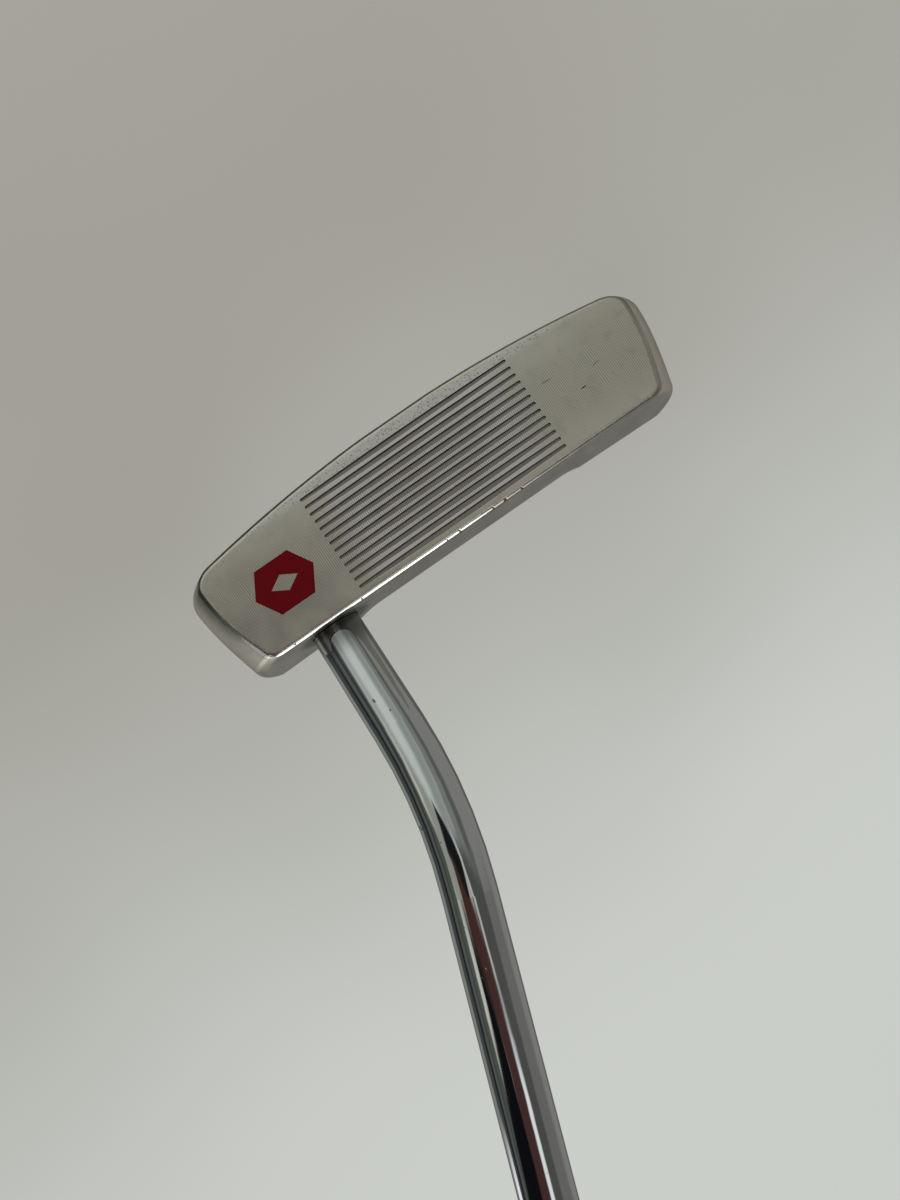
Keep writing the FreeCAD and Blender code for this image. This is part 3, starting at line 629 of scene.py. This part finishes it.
THUMB_SIDE = SHAFT_AXIS.cross(Vector((0, 1, 0)))
ACROSS_SIDE = SHAFT_AXIS.cross(THUMB_SIDE)
GRIP_STEP = 0.50
GRIP_AROUND = 176
LIP_LEVELS = (0.02, 0.12, 0.3, 0.55, 0.9)
FIRST_LEVEL = 1.3
LATTICE_STARTS = 16
LATTICE_RISE = 9.0
LATTICE_DEPTH = 0.60
LATTICE_WIDTH = 0.62
RIB_PITCH = 2.6
RIB_DEPTH = 0.42
RIB_WIDTH = 0.50
PLAIN_MOUTH = 15.0
PLAIN_BUTT = 13.0
PATTERN_FADE = 1.5
RING_FROM_END = 8.0
RING_DEPTH = 0.3
RING_WIDTH = 0.55
RAY_START = 30.0
SHARP_ANGLE = math.radians(50)


def smooth(value, start, end):
    turn = np.clip((value - start) / (end - start), 0.0, 1.0)
    return turn * turn * (3 - 2 * turn)


def furrow(distance, width):
    """Rounded furrow profile, 1 at its middle."""
    return np.exp(-(distance / width) ** 2)


def grip_relief(angle, level, length, flat_half):
    """Depth of the moulded pattern, in millimetres, at each angle and level: ribs on the thumb
    flat, which reaches flat_half to each side, a lattice on the round side, a ring at each end."""
    lattice = np.zeros_like(angle)
    starts_angle = angle * LATTICE_STARTS / (2 * math.pi)
    for way in (1, -1):
        phase = starts_angle + way * level / LATTICE_RISE
        off = np.abs(phase - np.round(phase)) * LATTICE_RISE * 0.5
        lattice = np.maximum(lattice, furrow(off, LATTICE_WIDTH))
    off = np.abs(level / RIB_PITCH - np.round(level / RIB_PITCH)) * RIB_PITCH
    ribs = furrow(off, RIB_WIDTH)
    plain_from = length - PLAIN_BUTT
    along = smooth(level, PLAIN_MOUTH, PLAIN_MOUTH + PATTERN_FADE) * \
        (1 - smooth(level, plain_from - PATTERN_FADE, plain_from))
    from_flat = np.abs(angle) - flat_half
    round_side = smooth(from_flat, 0.16, 0.26)
    thumb_side = 1 - smooth(from_flat, -0.20, -0.12)
    relief = along * (LATTICE_DEPTH * lattice * round_side + RIB_DEPTH * ribs * thumb_side)
    for ring in (RING_FROM_END, length - RING_FROM_END):
        relief += RING_DEPTH * furrow(level - ring, RING_WIDTH)
    return relief


def sleeve_reach(tree, mouth, level, outward):
    """Radius of the CAD sleeve, in millimetres, at each level and direction."""
    reach = np.empty((len(level), len(outward)))
    for row, height in enumerate(level):
        centre = mouth + SHAFT_AXIS * (height * MM)
        for column, way in enumerate(outward):
            distance = tree.ray_cast(centre + way * (RAY_START * MM), -way)[3]
            reach[row, column] = RAY_START - distance / MM
    return reach


def ring_faces(rings):
    """Quads that join closed rings of GRIP_AROUND corners, the last to the first."""
    faces = []
    for ring in range(rings):
        here = ring * GRIP_AROUND
        above = (ring + 1) % rings * GRIP_AROUND
        for column in range(GRIP_AROUND):
            after = (column + 1) % GRIP_AROUND
            faces.append((here + column, here + after, above + after, above + column))
    return faces


def build_grip():
    """The moulded rubber handle: the CAD sleeve's surface with its pattern pressed in."""
    sleeve = NODES["grip_sleeve"].data
    tree = BVHTree.FromPolygons([corner.co for corner in sleeve.vertices],
                                [face.vertices for face in sleeve.polygons])
    heights = [(corner.co - BUTT_POINT).dot(SHAFT_AXIS) for corner in sleeve.vertices]
    mouth = BUTT_POINT + SHAFT_AXIS * min(heights)
    length = (max(heights) - min(heights)) / MM
    level = np.concatenate([LIP_LEVELS, np.arange(FIRST_LEVEL, length - 0.2, GRIP_STEP),
                            [length - 0.02]])
    angle = np.linspace(-math.pi, math.pi, GRIP_AROUND, endpoint=False)
    outward = [THUMB_SIDE * math.cos(turn) + ACROSS_SIDE * math.sin(turn) for turn in angle]
    reach = sleeve_reach(tree, mouth, level, outward)
    bore = tree.ray_cast(mouth + SHAFT_AXIS * (length / 2 * MM), outward[0])[3] / MM
    ratio = reach[:, GRIP_AROUND // 2] / reach[:, 0]
    flat_half = np.arccos(np.clip(ratio, 0, 1))[:, None] * np.ones_like(reach)
    grid_angle, grid_level = np.meshgrid(angle, level)
    reach -= grip_relief(grid_angle, grid_level, length, flat_half)
    inside = np.full(GRIP_AROUND, bore)
    rings = [(level[0], inside), *zip(level, reach), (level[-1], inside)]
    ways = np.array([tuple(way) for way in outward])
    corners = np.concatenate([np.array(mouth) + np.array(SHAFT_AXIS) * height * MM
                              + ways * row[:, None] * MM for height, row in rings])
    mesh = bpy.data.meshes.new("grip_sleeve_moulded")
    mesh.from_pydata(corners.tolist(), [], ring_faces(len(rings)))
    mesh.shade_smooth()
    mesh.set_sharp_from_angle(angle=SHARP_ANGLE)
    mesh.materials.append(rubber("grip_rubber", (0.036, 0.036, 0.037, 1)))
    grip = bpy.data.objects.new("grip_sleeve_moulded", mesh)
    bpy.context.scene.collection.objects.link(grip)
    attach(grip, "root")
    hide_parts("grip_sleeve")


build_grip()
